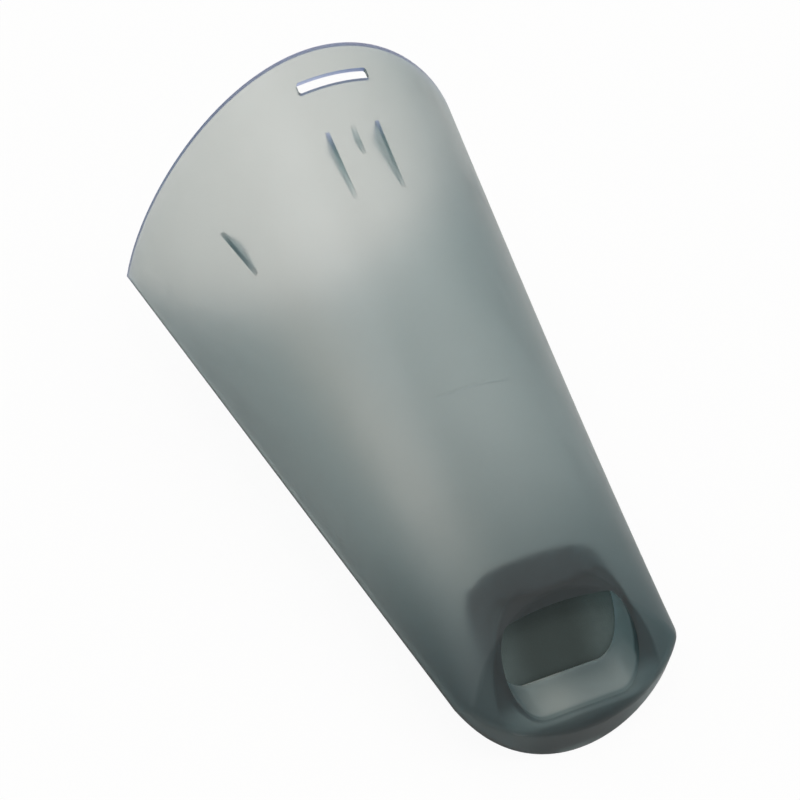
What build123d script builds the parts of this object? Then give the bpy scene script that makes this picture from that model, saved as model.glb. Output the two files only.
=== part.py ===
"""Clear smoked dust container of a hand-held vacuum cleaner, lying on its keel with its inlet upwards.

All sizes are millimetres. Stations run along the keel from the lip of the mouth (0) to the tip of the nose.
X is across, -Y is towards the nose, +Z is up, and the origin is under the middle of the keel.
"""
import math
import os

from build123d import *

# Tapering shell: an elliptical arch over a shallow round keel, meeting at two side edges
length = 200.0
mouth_half_width = 60.8
nose_half_width = 36.6
mouth_arch_height = 72.0
nose_arch_height = 7.7
mouth_edge_height = 30.9
nose_edge_height = 15.9
wall = 1.4
side_edge_radius = 1.2
keel_flat_depth = 0.6
overrun = 10.0

# Rim of the mouth, set back from the lip at the side edges and at the keel
rim_side_setback = 8.0
rim_keel_setback = 13.4

# Rounded nose, seen from above
nose_round_length = 21.0
nose_flare = 0.3

# Slanted face that the inlet opens in, its start measured back from the tip
inlet_face_start = 32.0
inlet_face_angle = 37.7
brow_radius = 3.5

# Inlet passage and the duct around it
passage_top_gap = 2.8
passage_lip = 4.5
passage_roof_half_width = 20.5
passage_floor_half_width = 27.5
passage_roof_crown = 1.4
passage_roof_radius = 7.0
passage_floor_radius = 10.0
inlet_edge_radius = 0.8
duct_length = 15.0
duct_wall = 1.6

# Latch slot through the arch behind the lip
slot_station = 10.2
slot_length = 24.3
slot_width = 3.3
slot_corner_radius = 0.9

# Guide ribs inside the arch: angles round the arch from the right side edge, stations, depths
rib_thickness = 1.2
rib_start = 24.8
rib_lead = 5.0
long_rib_angle = 81.3
long_rib_end = 46.0
long_rib_depth = 4.2
middle_rib_end = 33.9
middle_rib_depth = 1.6
flank_rib_angle = 38.5
flank_rib_end_angle = 41.6
flank_rib_start = 31.4
flank_rib_end = 48.4
flank_rib_depth = 5.2

# Rubber flap that shuts the inner end of the duct, and its hinge
flap_thickness = 1.5
flap_seat_gap = 0.3
flap_overlap = 1.2
hinge_rise = 0.2
hinge_barrel_radius = 1.2
hinge_pin_radius = 0.8
hinge_pin_clearance = 0.05
hinge_half_length = 12.5
hinge_end_gap = 0.3
lug_thickness = 1.5
lug_radius = 1.4
lug_root_depth = 2.0
flap_shoulder_gap = 0.5

half = length / 2
slope = math.tan(math.radians(inlet_face_angle))


def along(station):
    """Y of a station."""
    return half - station


def taper(at_mouth, at_nose, station):
    """A size that runs straight from the mouth to the nose."""
    return at_mouth + (at_nose - at_mouth) * station / length


def half_width(station):
    return taper(mouth_half_width, nose_half_width, station)


def arch_height(station):
    return taper(mouth_arch_height, nose_arch_height, station)


def edge_height(station):
    return taper(mouth_edge_height, nose_edge_height, station)


def crown(station):
    """Height of the top line."""
    return edge_height(station) + arch_height(station)


inlet_start = length - inlet_face_start


def inlet_face(station):
    """Height of the slanted inlet face on the middle line."""
    return crown(inlet_start) - (station - inlet_start) * slope


passage_top_station = inlet_start + passage_top_gap
passage_roof = inlet_face(passage_top_station)
passage_floor = inlet_face(length - passage_lip)


def section(station, inset):
    """One cross-section of the shell, drawn in by the inset."""
    width = half_width(station) - inset
    edge = edge_height(station)
    with BuildSketch(Plane.XZ.offset(-along(station))) as profile:
        with BuildLine():
            EllipticalCenterArc((0, edge), width, arch_height(station) - inset, arc_size=180)
            ThreePointArc((-width, edge), (0, inset - keel_flat_depth), (width, edge))
        make_face()
    return profile.sketch


def side_cut(points):
    """A block across the whole width with the given outline in side view."""
    with BuildPart() as block:
        with BuildSketch(Plane.YZ):
            with BuildLine():
                Polyline(*points, close=True)
            make_face()
        extrude(amount=mouth_half_width + overrun, both=True)
    return block.part


def over_inlet_face(setback, inset):
    """What lies over the inlet face moved towards the mouth and inwards."""
    drop = inset / math.cos(math.radians(inlet_face_angle)) + setback * slope
    last = length + overrun
    top = crown(0)
    first = inlet_start - (top - inlet_face(inlet_start) + drop) / slope
    return side_cut([(along(first), top), (along(last), inlet_face(last) - drop), (along(last), top)])


def form(inset):
    """The shell's outer form, or its hollow when drawn in by the wall."""
    centre = length - nose_round_length
    nose_half = half_width(centre) + nose_flare - inset
    nose_long = nose_round_length - inset
    wide = mouth_half_width + overrun
    with BuildPart() as body:
        loft([section(-overrun, inset), section(length + overrun, inset)], ruled=True)
        with BuildSketch(Plane.XY.offset(-overrun)):
            with BuildLine():
                EllipticalCenterArc((0, along(centre)), nose_half, nose_long, start_angle=180, arc_size=180)
                Polyline(
                    (nose_half, along(centre)),
                    (wide, along(-overrun)),
                    (-wide, along(-overrun)),
                    (-nose_half, along(centre)),
                )
            make_face()
        extrude(amount=crown(-overrun) + 2 * overrun, mode=Mode.INTERSECT)
        add(over_inlet_face(0, inset), mode=Mode.SUBTRACT)
        keel = body.faces().sort_by(Axis.Z)[0]
        nose = body.faces().sort_by(Axis.Y)[0]
        slant = body.faces().filter_by(GeomType.PLANE).sort_by(Axis.Y)[0]
        brow = [edge for edge in nose.edges() + slant.edges() if edge not in keel.edges()]
        fillet(brow, brow_radius - inset)
    return body.part


def outer_form():
    """The outer form with its side edges and chin rounded, and a flat along the keel to lie on."""
    with BuildPart() as body:
        add(form(0))
        keel = body.faces().sort_by(Axis.Z)[0]
        mouth = body.faces().sort_by(Axis.Y)[-1]
        fillet([edge for edge in keel.edges() if edge not in mouth.edges()], side_edge_radius)
        split(bisect_by=Plane.XY)
    return body.part


def inner_form():
    """The hollow, one wall inside the outer form."""
    with BuildPart() as body:
        add(form(wall))
        split(bisect_by=Plane.XY.offset(wall))
    return body.part


def passage(grow):
    """The inlet passage along the whole nose, or the duct's outside when grown by the duct's wall."""
    shoulder = passage_roof - passage_roof_crown
    inner_end = passage_top_station - duct_length - overrun
    with BuildPart() as bore:
        with BuildSketch(Plane.XZ.offset(-along(inner_end))) as outline:
            with BuildLine():
                ThreePointArc(
                    (-passage_roof_half_width, shoulder),
                    (0, passage_roof),
                    (passage_roof_half_width, shoulder),
                )
                Polyline(
                    (passage_roof_half_width, shoulder),
                    (passage_floor_half_width, passage_floor),
                    (-passage_floor_half_width, passage_floor),
                    (-passage_roof_half_width, shoulder),
                )
            make_face()
            fillet(outline.vertices().group_by(Axis.Y)[0], passage_floor_radius)
            fillet(outline.vertices().group_by(Axis.Y)[-1], passage_roof_radius)
            if grow:
                offset(amount=grow)
        extrude(amount=length + overrun - inner_end)
    return bore.part


def wall_point(angle, station):
    """A point in the middle of the arch's wall, by its angle round the arch."""
    turn = math.radians(angle)
    across = (half_width(station) - wall / 2) * math.cos(turn)
    up = edge_height(station) + (arch_height(station) - wall / 2) * math.sin(turn)
    return Vector(across, along(station), up)


def rib(angle, end_angle, start, end, depth):
    """A fin on the inside of the arch, rising over its lead and running out towards the nose."""
    turn = math.radians(angle)
    inward = Vector(-math.cos(turn) / half_width(start), 0, -math.sin(turn) / arch_height(start))
    run = wall_point(end_angle, end) - wall_point(angle, start)
    with BuildPart() as fin:
        with BuildSketch(Plane(wall_point(angle, start), x_dir=run, z_dir=run.cross(inward))):
            with BuildLine():
                Polyline(
                    (0, 0),
                    (run.length, 0),
                    (run.length, wall / 2),
                    (rib_lead, wall / 2 + depth),
                    (0, wall / 2),
                    close=True,
                )
            make_face()
        extrude(amount=rib_thickness / 2, both=True)
    return fin.part


outer = outer_form()
hollow = inner_form()

# Hinge of the flap: a cross axis beside the top of the duct's slanted inner end
tilt = math.radians(inlet_face_angle)
into_hollow = Vector(0, math.sin(tilt), -math.cos(tilt))
down_face = Vector(0, -math.cos(tilt), -math.sin(tilt))
duct_end = Vector(0, along(passage_top_station - duct_length), passage_roof)
flap_seat = duct_end + into_hollow * flap_seat_gap
hinge = flap_seat + into_hollow * hinge_barrel_radius - down_face * hinge_rise
lug_start = hinge_half_length + hinge_end_gap
lug_end = lug_start + lug_thickness

# Duct round the passage, cut off parallel to the inlet face
with BuildPart() as duct:
    add(passage(duct_wall))
    add(over_inlet_face(duct_length, 0), mode=Mode.INTERSECT)
    add(outer, mode=Mode.INTERSECT)

# Lugs that stand on the duct's slanted end and hold the flap's pins
lug_back = hinge - into_hollow * (hinge_barrel_radius + flap_seat_gap + lug_root_depth)
lug_corners = [
    hinge - down_face * lug_radius,
    lug_back - down_face * lug_radius,
    lug_back + down_face * lug_radius,
    hinge + down_face * lug_radius,
]
with BuildPart() as lugs:
    with BuildSketch(Plane.YZ.offset(lug_start)):
        with BuildLine():
            Polyline(*[(corner.Y, corner.Z) for corner in lug_corners], close=True)
        make_face()
        with Locations((hinge.Y, hinge.Z)):
            Circle(lug_radius)
            Circle(hinge_pin_radius + hinge_pin_clearance, mode=Mode.SUBTRACT)
    extrude(amount=lug_thickness)
    mirror(about=Plane.YZ)

# Container: one moulding with its duct, lugs, guide ribs, inlet, latch slot and trimmed rim
with BuildPart() as dust_container:
    add(outer)
    add(hollow, mode=Mode.SUBTRACT)
    add(duct.part)
    add(passage(0), mode=Mode.SUBTRACT)
    pierced_faces = dust_container.faces().filter_by(lambda face: len(face.inner_wires()) > 0)
    inlet_edge = pierced_faces.sort_by(Axis.Y)[0].inner_wires()[0]
    fillet(inlet_edge.edges(), inlet_edge_radius)
    add(lugs.part)
    add(rib(90, 90, rib_start, middle_rib_end, middle_rib_depth))
    add(rib(long_rib_angle, long_rib_angle, rib_start, long_rib_end, long_rib_depth))
    add(rib(flank_rib_angle, flank_rib_end_angle, flank_rib_start, flank_rib_end, flank_rib_depth))
    add(rib(180 - long_rib_angle, 180 - long_rib_angle, rib_start, long_rib_end, long_rib_depth))
    add(rib(180 - flank_rib_angle, 180 - flank_rib_end_angle, flank_rib_start, flank_rib_end, flank_rib_depth))
    with BuildSketch(Plane.XY.offset(crown(0))):
        with Locations((0, along(slot_station))):
            RectangleRounded(slot_length, slot_width, slot_corner_radius)
    extrude(amount=-mouth_arch_height, mode=Mode.SUBTRACT)
    with BuildSketch(Plane.YZ):
        with BuildLine():
            side_point = (along(rim_side_setback), edge_height(rim_side_setback))
            Polyline((along(rim_keel_setback), -overrun), (along(rim_keel_setback), 0), side_point)
            TangentArc(side_point, (along(0), crown(0)), tangent=(0, 1))
            Polyline(
                (along(0), crown(0)),
                (along(0), crown(0) + overrun),
                (along(-2 * overrun), crown(0) + overrun),
                (along(-2 * overrun), -overrun),
                (along(rim_keel_setback), -overrun),
            )
        make_face()
    extrude(amount=mouth_half_width + overrun, both=True, mode=Mode.SUBTRACT)

# Rubber flap over the duct's inner end, with a hinge barrel and two pins along its top
flap_reach = (passage_roof - passage_floor) / math.sin(tilt) + overrun
shoulder_drop = lug_radius - hinge_rise + flap_shoulder_gap
flap_half_width = passage_floor_half_width + flap_overlap
with BuildPart() as inlet_flap:
    with BuildSketch(Plane(flap_seat, x_dir=(1, 0, 0), z_dir=into_hollow)):
        with Locations((0, shoulder_drop)):
            Rectangle(2 * flap_half_width, flap_reach, align=(Align.CENTER, Align.MIN))
        with Locations((0, -hinge_rise)):
            Rectangle(2 * hinge_half_length, hinge_rise + shoulder_drop, align=(Align.CENTER, Align.MIN))
    extrude(amount=flap_thickness)
    add(passage(flap_overlap), mode=Mode.INTERSECT)
    with BuildSketch(Plane.YZ):
        with Locations((hinge.Y, hinge.Z)):
            Circle(hinge_barrel_radius)
    extrude(amount=hinge_half_length, both=True)
    with BuildSketch(Plane.YZ):
        with Locations((hinge.Y, hinge.Z)):
            Circle(hinge_pin_radius)
    extrude(amount=lug_end, both=True)

os.makedirs("parts", exist_ok=True)
dust_container.part.label = "dust_container"
inlet_flap.part.label = "inlet_flap"
export_step(dust_container.part, "parts/dust_container.step")
export_step(inlet_flap.part, "parts/inlet_flap.step")
print("flap hinge at", hinge)
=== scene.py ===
"""Looks of the smoked dust container: see-through plastic, dark rubber flap, pale floor, soft light.

All places are metres in the part's own frame: X across, -Y towards the nose, +Z up, keel on Z = 0.
"""
import math

import bpy
from mathutils import Matrix, Vector


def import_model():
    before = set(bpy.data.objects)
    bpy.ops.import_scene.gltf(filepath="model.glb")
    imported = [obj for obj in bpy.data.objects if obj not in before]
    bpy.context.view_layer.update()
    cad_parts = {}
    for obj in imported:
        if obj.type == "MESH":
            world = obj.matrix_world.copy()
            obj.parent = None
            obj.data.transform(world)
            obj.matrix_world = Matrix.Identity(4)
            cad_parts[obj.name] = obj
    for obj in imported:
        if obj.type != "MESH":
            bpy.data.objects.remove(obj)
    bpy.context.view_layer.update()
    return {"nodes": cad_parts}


# Camera: the point it looks at, where it stands and how it is turned about its own axis
AIM = Vector((-0.01205, 0.00629, 0.04505))
CAMERA_DISTANCE = 0.84
CAMERA_AZIMUTH = 40.69
CAMERA_ELEVATION = 46.66
CAMERA_ROLL = 15.42
CAMERA_LENS = 126.53
SENSOR_WIDTH = 36.0

# Sockets of a Mix node that blends colours
MIX_SHARE = 0
MIX_FIRST = 6
MIX_SECOND = 7
MIX_RESULT = 2

# Value that noise swings about
NOISE_MIDDLE = 0.5


class Socket:
    """A value, colour or vector in a material, with sums written as Python expressions."""

    def __init__(self, tree, socket):
        self.tree = tree
        self.socket = socket

    def math(self, operation, first, second):
        return self.tree.node("ShaderNodeMath", {"operation": operation}, {0: first, 1: second})

    def __add__(self, other):
        return self.math("ADD", self, other)

    def __sub__(self, other):
        return self.math("SUBTRACT", self, other)

    def __mul__(self, other):
        return self.math("MULTIPLY", self, other)

    def __radd__(self, other):
        return self.math("ADD", other, self)

    def __rsub__(self, other):
        return self.math("SUBTRACT", other, self)

    def __rmul__(self, other):
        return self.math("MULTIPLY", other, self)


class Tree:
    """The node tree of one material or of the world."""

    def __init__(self, owner):
        owner.use_nodes = True
        self.nodes = owner.node_tree.nodes
        self.links = owner.node_tree.links
        self.nodes.clear()

    def node(self, kind, settings=None, sockets=None, output=0):
        """Adds a node, sets it, fills its sockets and gives one of its outputs."""
        made = self.nodes.new(kind)
        for name, value in (settings or {}).items():
            setattr(made, name, value)
        for name, value in (sockets or {}).items():
            if isinstance(value, Socket):
                self.links.new(value.socket, made.inputs[name])
            else:
                made.inputs[name].default_value = value
        return Socket(self, made.outputs[output]) if made.outputs else None

    def absolute(self, value):
        return self.node("ShaderNodeMath", {"operation": "ABSOLUTE"}, {0: value})

    def larger(self, first, second):
        return self.node("ShaderNodeMath", {"operation": "MAXIMUM"}, {0: first, 1: second})

    def root(self, value):
        return self.node("ShaderNodeMath", {"operation": "SQRT"}, {0: value})

    def ramp(self, value, start, end):
        """Runs smoothly from 0 to 1 as the value goes from start to end."""
        return self.node(
            "ShaderNodeMapRange",
            {"interpolation_type": "SMOOTHSTEP"},
            {"Value": value, "From Min": start, "From Max": end},
        )

    def blend(self, share, first, second):
        """Goes from the first colour to the second as the share goes from 0 to 1."""
        return self.node(
            "ShaderNodeMix",
            {"data_type": "RGBA", "clamp_factor": True},
            {MIX_SHARE: share, MIX_FIRST: first, MIX_SECOND: second},
            output=MIX_RESULT,
        )

    def mix(self, share, first, second):
        """Goes from the first shader to the second as the share goes from 0 to 1."""
        return self.node("ShaderNodeMixShader", sockets={0: share, 1: first, 2: second})

    def place(self):
        """X, Y and Z in metres, in the part's own frame."""
        point = self.node("ShaderNodeTexCoord", output="Object")
        return [
            self.node("ShaderNodeSeparateXYZ", sockets={0: point}, output=axis)
            for axis in "XYZ"
        ]

    def noise(self, per_metre, detail):
        """Soft noise about its middle, with so many waves to the metre and finer waves on them."""
        point = self.node("ShaderNodeTexCoord", output="Object")
        return self.node(
            "ShaderNodeTexNoise",
            sockets={"Vector": point, "Scale": per_metre, "Detail": detail},
        )

    def light_path(self, kind):
        """1 for light rays of this kind, 0 for others."""
        return self.node("ShaderNodeLightPath", output=kind)


def new_material(name):
    material = bpy.data.materials.new(name)
    return material, Tree(material)


# Smoked plastic of the container
PLASTIC_IOR = 1.55
SEE_THROUGH = 1.0
SMOKE_COLOUR = (0.60, 0.72, 0.74, 1.0)
SMOKE_DENSITY = 780.0
WALL_ROUGHNESS = 0.37
ROUGHNESS_SPREAD = 0.1
WALL_SHEEN = 0.25
WALL_SHEEN_ROUGHNESS = 0.4
CLEAR = (1.0, 1.0, 1.0, 1.0)

# The shell is darker (painted shade) and more matte towards the nose, and most of all at its tip
NOSE_PAINTED_SHADE = (0.29, 0.38, 0.4, 1.0)
NOSE_FROM = -0.002
NOSE_TO = -0.1
TIP_PAINTED_SHADE = (0.08, 0.12, 0.135, 1.0)
TIP_FROM = -0.094
TIP_TO = -0.1
MATTE_FROM = -0.01
NOSE_MATTE = 0.15
TIP_MATTE = 0.2

# Plane of the slanted inlet face, by the Y and Z parts of its normal
FACE_NORMAL_Y = -0.6115
FACE_NORMAL_Z = 0.7912
FACE_OFFSET = 0.0703
BEHIND_FACE_FROM = -0.0005
BEHIND_FACE_TO = -0.0015

# Section of the inlet passage: walls that lean inwards to the roof, with round corners
PASSAGE_MIDDLE = 0.0245
PASSAGE_HALF_HEIGHT = 0.0095
PASSAGE_FLAT_HALF = 0.0145
PASSAGE_WALL_LEAN = 0.3955
PASSAGE_ROOF = 0.0341
PASSAGE_ROOF_CURVE = 3.33

# The duct's wall round the passage, down to the keel
DUCT_SMOKE = (0.75, 0.82, 0.84, 1.0)
DUCT_SKIN = 0.0024
DUCT_FADE = 0.0006
KEEL_TOP = 0.0125

# The roof of the passage is painted dark in its middle as painted shade, and so is a ring round the
# inlet
ROOF_PAINTED_SHADE = (0.14, 0.27, 0.32, 1.0)
ROOF_SKIN = 0.0005
ROOF_SKIN_FADE = 0.0005
ROOF_SHADE_HALF = 0.011
ROOF_SHADE_FADE = 0.02
RING_PAINTED_SHADE = (0.06, 0.11, 0.125, 1.0)
RING_WIDTH = 0.0022
RING_FADE = 0.0012
RING_DEPTH = 0.0012
RING_FOOT_FROM = 0.0165
RING_FOOT_TO = 0.02

# The base of the passage is painted clear from the flap to the lip, a painted pool of light amid the
# nose's painted shade
BASE_TOP = 0.0185
BASE_TOP_FADE = 0.002
BASE_LEFT = -0.018
BASE_RIGHT = 0.0235
BASE_SOFT_EDGE = 0.001
BASE_FLAP_END = -0.077
BASE_CLEAR_FROM = -0.084
BASE_LIP = -0.0957

# Cut edges of the rim and the slot are lavender, with a painted glow that stands in for light the
# wall pipes to them
EDGE_TINT = (0.6, 0.64, 0.95, 1.0)
EDGE_PAINTED_GLOW = (0.07, 0.075, 0.16, 1.0)
EDGE_PAINTED_GLOW_STRENGTH = 1.0
NO_GLOW = (0.0, 0.0, 0.0, 1.0)
EDGE_STEEP_FROM = 0.7
EDGE_STEEP_TO = 0.85
RIM_ZONE_FROM = 0.07
RIM_ZONE_TO = 0.075

# A faint moulding line across the top
WITNESS_LINE_Y = -0.0071
WITNESS_LINE_X = 0.0027
WITNESS_LINE_WIDTH = 0.0006
WITNESS_LINE_HALF = 0.0145
WITNESS_LINE_FADE = 0.011

# Relief of the wall: slow waves, a fine grain and the moulding line
CLOUDS_PER_METRE = 45.0
GRAINS_PER_METRE = 1400.0
WALL_NOISE_DETAIL = 2.0
CLOUD_HEIGHT = 1.2
GRAIN_HEIGHT = 0.04
WITNESS_LINE_HEIGHT = 0.25
RELIEF_DEPTH = 0.0004
RELIEF_STRENGTH = 1.0


def shell_colour(tree, x, y, z):
    """Tint of the plastic, from clear to the dark inlet, with painted shade towards the nose, on the
    passage roof and round the inlet, and a painted pool of light on the passage base.
    """
    middle = tree.absolute(x)
    before_face = y * FACE_NORMAL_Y + z * FACE_NORMAL_Z - FACE_OFFSET
    behind_face = tree.ramp(before_face, BEHIND_FACE_FROM, BEHIND_FACE_TO)
    rise = z - PASSAGE_MIDDLE
    side = tree.larger(middle + rise * PASSAGE_WALL_LEAN - PASSAGE_FLAT_HALF, 0.0)
    outside = tree.root(side * side + rise * rise) - PASSAGE_HALF_HEIGHT
    above_roof = z - PASSAGE_ROOF + middle * middle * PASSAGE_ROOF_CURVE

    duct = tree.ramp(outside, DUCT_SKIN + DUCT_FADE, DUCT_SKIN) * behind_face
    duct = duct * tree.ramp(z, KEEL_TOP, KEEL_TOP + DUCT_FADE)
    # Painted shade on the middle of the passage roof
    roof_shade = duct * tree.ramp(above_roof, -ROOF_SKIN - ROOF_SKIN_FADE, -ROOF_SKIN)
    roof_shade = roof_shade * tree.ramp(middle, ROOF_SHADE_FADE, ROOF_SHADE_HALF)
    # Painted shade in a ring round the inlet
    ring_shade = tree.ramp(outside, RING_WIDTH + RING_FADE, RING_WIDTH)
    ring_shade = ring_shade * tree.ramp(tree.absolute(before_face), RING_DEPTH + RING_FADE, RING_DEPTH)
    ring_shade = ring_shade * tree.ramp(z, RING_FOOT_FROM, RING_FOOT_TO)
    # Painted pool of light on the passage base, fading back into painted shade towards the flap
    lit_base_patch = tree.ramp(x, BASE_LEFT - BASE_SOFT_EDGE, BASE_LEFT + BASE_SOFT_EDGE) * behind_face
    lit_base_patch = lit_base_patch * tree.ramp(x, BASE_RIGHT + BASE_SOFT_EDGE, BASE_RIGHT - BASE_SOFT_EDGE)
    lit_base_patch = lit_base_patch * tree.ramp(z, BASE_TOP + BASE_TOP_FADE, BASE_TOP)
    lit_base_patch = lit_base_patch * tree.ramp(y, BASE_FLAP_END, BASE_CLEAR_FROM)
    lit_base_patch = lit_base_patch * tree.ramp(y, BASE_LIP, BASE_LIP + BASE_SOFT_EDGE)

    # Painted shade: darker towards the nose, darkest at the tip
    colour = tree.blend(tree.ramp(y, NOSE_FROM, NOSE_TO), CLEAR, NOSE_PAINTED_SHADE)
    colour = tree.blend(tree.ramp(y, TIP_FROM, TIP_TO), colour, TIP_PAINTED_SHADE)
    colour = tree.blend(duct, colour, DUCT_SMOKE)
    colour = tree.blend(roof_shade, colour, ROOF_PAINTED_SHADE)
    colour = tree.blend(ring_shade, colour, RING_PAINTED_SHADE)
    return tree.blend(lit_base_patch, colour, CLEAR)


def smoked_plastic():
    """See-through plastic with smoke in its thickness and a soft, satin skin."""
    material, tree = new_material("smoked_plastic")
    x, y, z = tree.place()
    facing = tree.node("ShaderNodeNewGeometry", output="Normal")
    along = tree.node("ShaderNodeSeparateXYZ", sockets={0: facing}, output="Y")
    cut_edge = tree.ramp(tree.absolute(along), EDGE_STEEP_FROM, EDGE_STEEP_TO)
    cut_edge = cut_edge * tree.ramp(y, RIM_ZONE_FROM, RIM_ZONE_TO)
    colour = tree.blend(cut_edge, shell_colour(tree, x, y, z), EDGE_TINT)
    cloud = tree.noise(CLOUDS_PER_METRE, WALL_NOISE_DETAIL)
    grain = tree.noise(GRAINS_PER_METRE, WALL_NOISE_DETAIL)
    across_line = tree.absolute(y - WITNESS_LINE_Y)
    along_line = tree.absolute(x - WITNESS_LINE_X)
    witness = tree.ramp(across_line, WITNESS_LINE_WIDTH, 0.0)
    witness = witness * tree.ramp(along_line, WITNESS_LINE_HALF, WITNESS_LINE_FADE)
    height = cloud * CLOUD_HEIGHT + grain * GRAIN_HEIGHT + witness * WITNESS_LINE_HEIGHT
    relief = tree.node(
        "ShaderNodeBump",
        sockets={"Height": height, "Distance": RELIEF_DEPTH, "Strength": RELIEF_STRENGTH},
    )
    roughness = (cloud - NOISE_MIDDLE) * ROUGHNESS_SPREAD + WALL_ROUGHNESS
    roughness = roughness + tree.ramp(y, MATTE_FROM, NOSE_TO) * NOSE_MATTE
    roughness = roughness + tree.ramp(y, TIP_FROM, TIP_TO) * TIP_MATTE
    surface = tree.node(
        "ShaderNodeBsdfPrincipled",
        sockets={
            "Base Color": colour,
            "Roughness": roughness,
            "Normal": relief,
            "IOR": PLASTIC_IOR,
            "Transmission Weight": SEE_THROUGH,
            # Painted glow on the cut edges of the rim and the slot
            "Emission Color": tree.blend(cut_edge, NO_GLOW, EDGE_PAINTED_GLOW),
            "Emission Strength": EDGE_PAINTED_GLOW_STRENGTH,
            "Sheen Weight": WALL_SHEEN,
            "Sheen Roughness": WALL_SHEEN_ROUGHNESS,
        },
    )
    smoke = tree.node(
        "ShaderNodeVolumeAbsorption",
        sockets={"Color": SMOKE_COLOUR, "Density": SMOKE_DENSITY},
    )
    tree.node("ShaderNodeOutputMaterial", sockets={"Surface": surface, "Volume": smoke})
    return material


# Rubber of the flap, lighter in patches towards its sides
RUBBER_COLOUR = (0.04, 0.051, 0.046, 1.0)
RUBBER_LIGHTER = (0.17, 0.21, 0.2, 1.0)
LIGHTER_FROM = 0.006
LIGHTER_TO = 0.03
LIGHTER_LEAST = 0.5
RUBBER_CLOUDS_PER_METRE = 160.0
RUBBER_CLOUD_DETAIL = 4.0
RUBBER_GRAINS_PER_METRE = 2500.0
RUBBER_GRAIN_DETAIL = 2.0
RUBBER_GRAIN_DEPTH = 0.0002
RUBBER_GRAIN_STRENGTH = 0.5
RUBBER_ROUGHNESS = 0.5
RUBBER_ROUGHNESS_SPREAD = 0.2
RUBBER_GLOSS = 0.3


def flap_rubber():
    """Dark matte rubber with a fine grain, patchily lighter towards its sides."""
    material, tree = new_material("flap_rubber")
    middle = tree.absolute(tree.place()[0])
    cloud = tree.noise(RUBBER_CLOUDS_PER_METRE, RUBBER_CLOUD_DETAIL)
    grain = tree.noise(RUBBER_GRAINS_PER_METRE, RUBBER_GRAIN_DETAIL)
    relief = tree.node(
        "ShaderNodeBump",
        sockets={
            "Height": grain,
            "Distance": RUBBER_GRAIN_DEPTH,
            "Strength": RUBBER_GRAIN_STRENGTH,
        },
    )
    lighter_sides = tree.ramp(middle, LIGHTER_FROM, LIGHTER_TO) * (cloud + LIGHTER_LEAST)
    roughness = (cloud - NOISE_MIDDLE) * RUBBER_ROUGHNESS_SPREAD + RUBBER_ROUGHNESS
    surface = tree.node(
        "ShaderNodeBsdfPrincipled",
        sockets={
            "Base Color": tree.blend(lighter_sides, RUBBER_COLOUR, RUBBER_LIGHTER),
            "Roughness": roughness,
            "Normal": relief,
            "Specular IOR Level": RUBBER_GLOSS,
        },
    )
    tree.node("ShaderNodeOutputMaterial", sockets={"Surface": surface})
    return material


# Stage: a pale floor under the keel and a pale world, both white to the camera
WHITE = (1.0, 1.0, 1.0, 1.0)
WHITE_STRENGTH = 1.0
FLOOR_HALF = 3.0
FLOOR_HEIGHT = 0.0
FLOOR_COLOUR = (0.95, 0.87, 0.83, 1.0)
FLOOR_THROUGH = (0.95, 0.79, 0.7, 1.0)
FLOOR_GLOW = 0.94
FLOOR_GLOW_THROUGH = 0.5
SKY_COLOUR = (0.9, 0.985, 1.0, 1.0)
SKY_STRENGTH = 0.74


def floor():
    mesh = bpy.data.meshes.new("floor")
    sides = [(-1, -1), (1, -1), (1, 1), (-1, 1)]
    corners = [(x * FLOOR_HALF, y * FLOOR_HALF, FLOOR_HEIGHT) for x, y in sides]
    mesh.from_pydata(corners, [], [range(len(corners))])
    plane = bpy.data.objects.new("floor", mesh)
    bpy.context.scene.collection.objects.link(plane)
    material, tree = new_material("pale_floor")
    matte = tree.node("ShaderNodeBsdfDiffuse", sockets={"Color": FLOOR_COLOUR})
    seen = tree.light_path("Is Camera Ray")
    through = tree.light_path("Is Transmission Ray")
    glow = tree.node(
        "ShaderNodeEmission",
        sockets={"Color": tree.blend(through, WHITE, FLOOR_THROUGH), "Strength": WHITE_STRENGTH},
    )
    mixed = tree.mix(seen * FLOOR_GLOW + through * FLOOR_GLOW_THROUGH, matte, glow)
    tree.node("ShaderNodeOutputMaterial", sockets={"Surface": mixed})
    mesh.materials.append(material)


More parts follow.
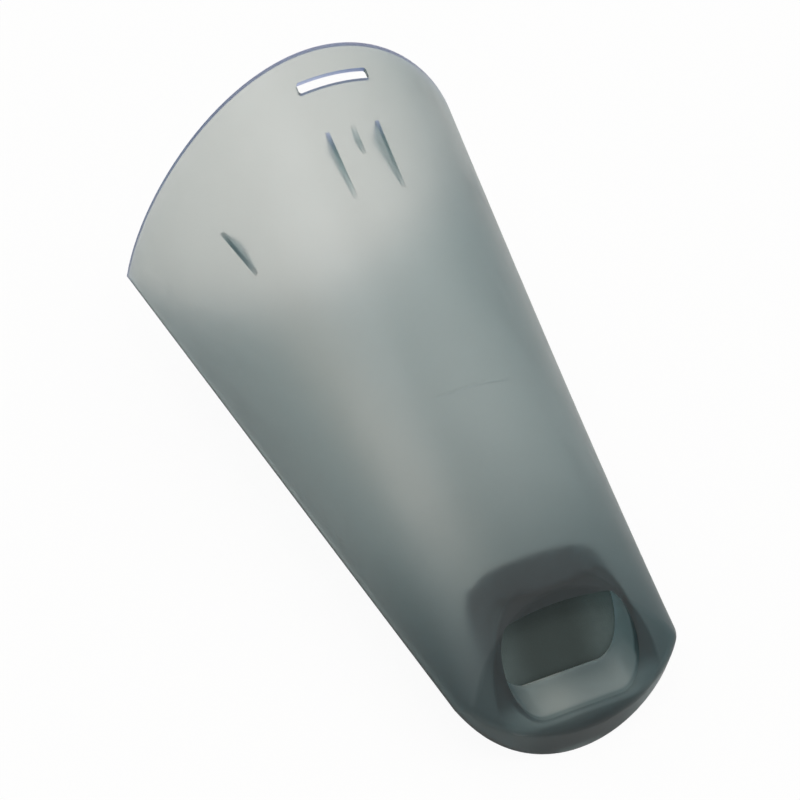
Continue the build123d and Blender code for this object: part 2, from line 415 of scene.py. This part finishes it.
def world():
    pale = bpy.data.worlds.new("pale_world")
    bpy.context.scene.world = pale
    tree = Tree(pale)
    sky = tree.node(
        "ShaderNodeBackground",
        sockets={"Color": SKY_COLOUR, "Strength": SKY_STRENGTH},
    )
    backdrop = tree.node(
        "ShaderNodeBackground",
        sockets={"Color": WHITE, "Strength": WHITE_STRENGTH},
    )
    seen = tree.light_path("Is Camera Ray") + tree.light_path("Is Transmission Ray")
    mixed = tree.mix(seen, sky, backdrop)
    tree.node("ShaderNodeOutputWorld", sockets={"Surface": mixed})


# Soft lamps, all turned to one target: name, place, width, height and watts
LAMP_TARGET = Vector((0.0, 0.0, 0.03))
LAMPS = (
    ("left_lamp", Vector((-0.7, -0.13, 1.46)), 0.4, 0.9, 2.6),
    ("top_lamp", Vector((-0.2, -0.27, 1.48)), 0.35, 0.35, 1.2),
    ("right_lamp", Vector((0.75, -0.3, 1.45)), 0.4, 0.9, 1.5),
    ("back_lamp", Vector((0.1, 1.1, 0.75)), 0.8, 0.6, 1.0),
)


def lamp(name, place, width, height, watts):
    light = bpy.data.lights.new(name, "AREA")
    light.shape = "RECTANGLE"
    light.size = width
    light.size_y = height
    light.energy = watts
    holder = bpy.data.objects.new(name, light)
    bpy.context.scene.collection.objects.link(holder)
    holder.location = place
    holder.rotation_euler = (LAMP_TARGET - place).to_track_quat("-Z", "Y").to_euler()


def camera():
    azimuth = math.radians(CAMERA_AZIMUTH)
    elevation = math.radians(CAMERA_ELEVATION)
    toward = Vector((
        -math.sin(azimuth) * math.cos(elevation),
        -math.cos(azimuth) * math.cos(elevation),
        math.sin(elevation),
    ))
    lens = bpy.data.cameras.new("camera")
    lens.lens = CAMERA_LENS
    lens.sensor_width = SENSOR_WIDTH
    holder = bpy.data.objects.new("camera", lens)
    bpy.context.scene.collection.objects.link(holder)
    stand = Matrix.Translation(AIM + toward * CAMERA_DISTANCE)
    facing = toward.to_track_quat("Z", "Y").to_matrix().to_4x4()
    turn = Matrix.Rotation(math.radians(CAMERA_ROLL), 4, "Z")
    holder.matrix_world = stand @ facing @ turn
    bpy.context.scene.camera = holder


def dress(node, material):
    """Gives a piece of the container its finish."""
    node.data.materials.clear()
    node.data.materials.append(material)


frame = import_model()
dress(frame["nodes"]["dust_container"], smoked_plastic())
dress(frame["nodes"]["inlet_flap"], flap_rubber())
floor()
world()
for name, place, width, height, watts in LAMPS:
    lamp(name, place, width, height, watts)
camera()
bpy.context.scene.view_settings.view_transform = "Standard"
